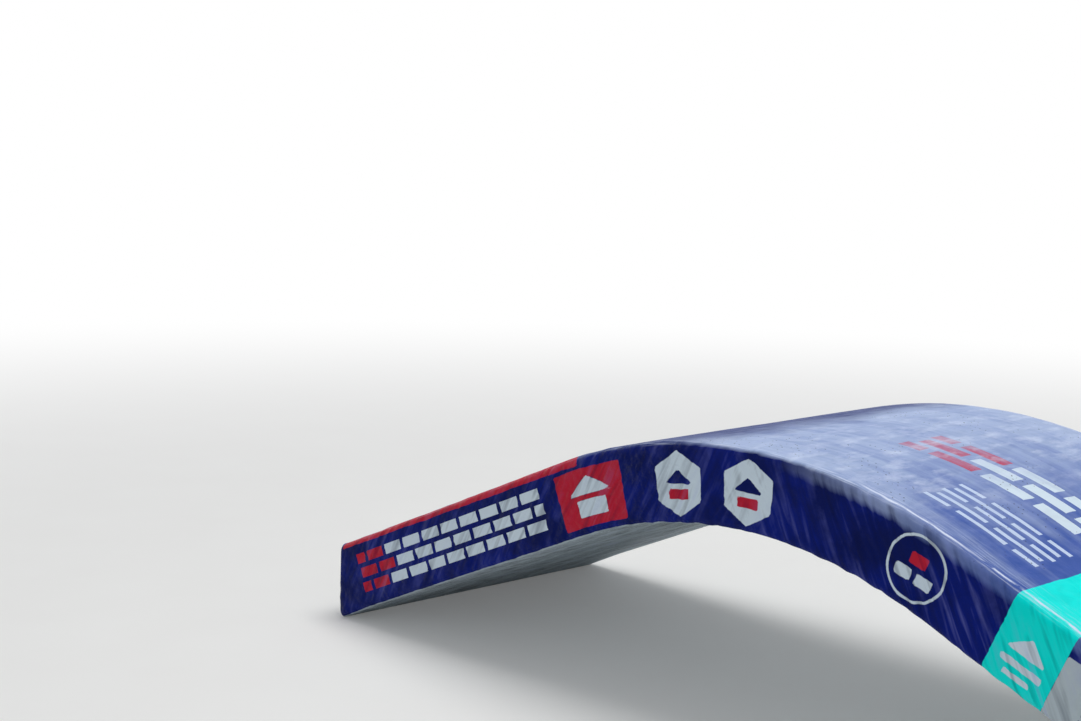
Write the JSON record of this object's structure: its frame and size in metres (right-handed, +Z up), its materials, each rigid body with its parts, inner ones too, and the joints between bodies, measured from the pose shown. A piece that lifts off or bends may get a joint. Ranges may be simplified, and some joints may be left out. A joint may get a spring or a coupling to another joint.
{
  "type": "asphalt shingle bundle",
  "caption": "Film-wrapped bundle of laminated asphalt shingles, bowed over a ridge, with the sheet ends showing through each open film end.",
  "frame": {"origin": "on the floor that the two ends stand on, under the middle of the crown and half way across the bundle", "axes": "+X along the bundle, +Y across it, away from the side that the picture shows, +Z up through the crown"},
  "size_m": [0.9442, 0.3432, 0.232],
  "materials": {
    "wrapper_film": "glossy printed polyethylene film, navy, with fine tension wrinkles",
    "asphalt_shingle": "asphalt-coated glass mat with charcoal mineral granules, rough"
  },
  "bodies": {
    "root": {"wrapper": "wrapper_film", "shingle_01": "asphalt_shingle", "shingle_02": "asphalt_shingle", "shingle_03": "asphalt_shingle", "shingle_04": "asphalt_shingle", "shingle_05": "asphalt_shingle", "shingle_06": "asphalt_shingle", "shingle_07": "asphalt_shingle", "shingle_08": "asphalt_shingle", "shingle_09": "asphalt_shingle", "shingle_10": "asphalt_shingle", "shingle_11": "asphalt_shingle", "shingle_12": "asphalt_shingle", "shingle_13": "asphalt_shingle", "shingle_14": "asphalt_shingle", "shingle_15": "asphalt_shingle", "shingle_16": "asphalt_shingle", "shingle_17": "asphalt_shingle", "shingle_18": "asphalt_shingle", "shingle_19": "asphalt_shingle", "shingle_20": "asphalt_shingle", "shingle_21": "asphalt_shingle", "shingle_22": "asphalt_shingle"}
  },
  "joints": []
}
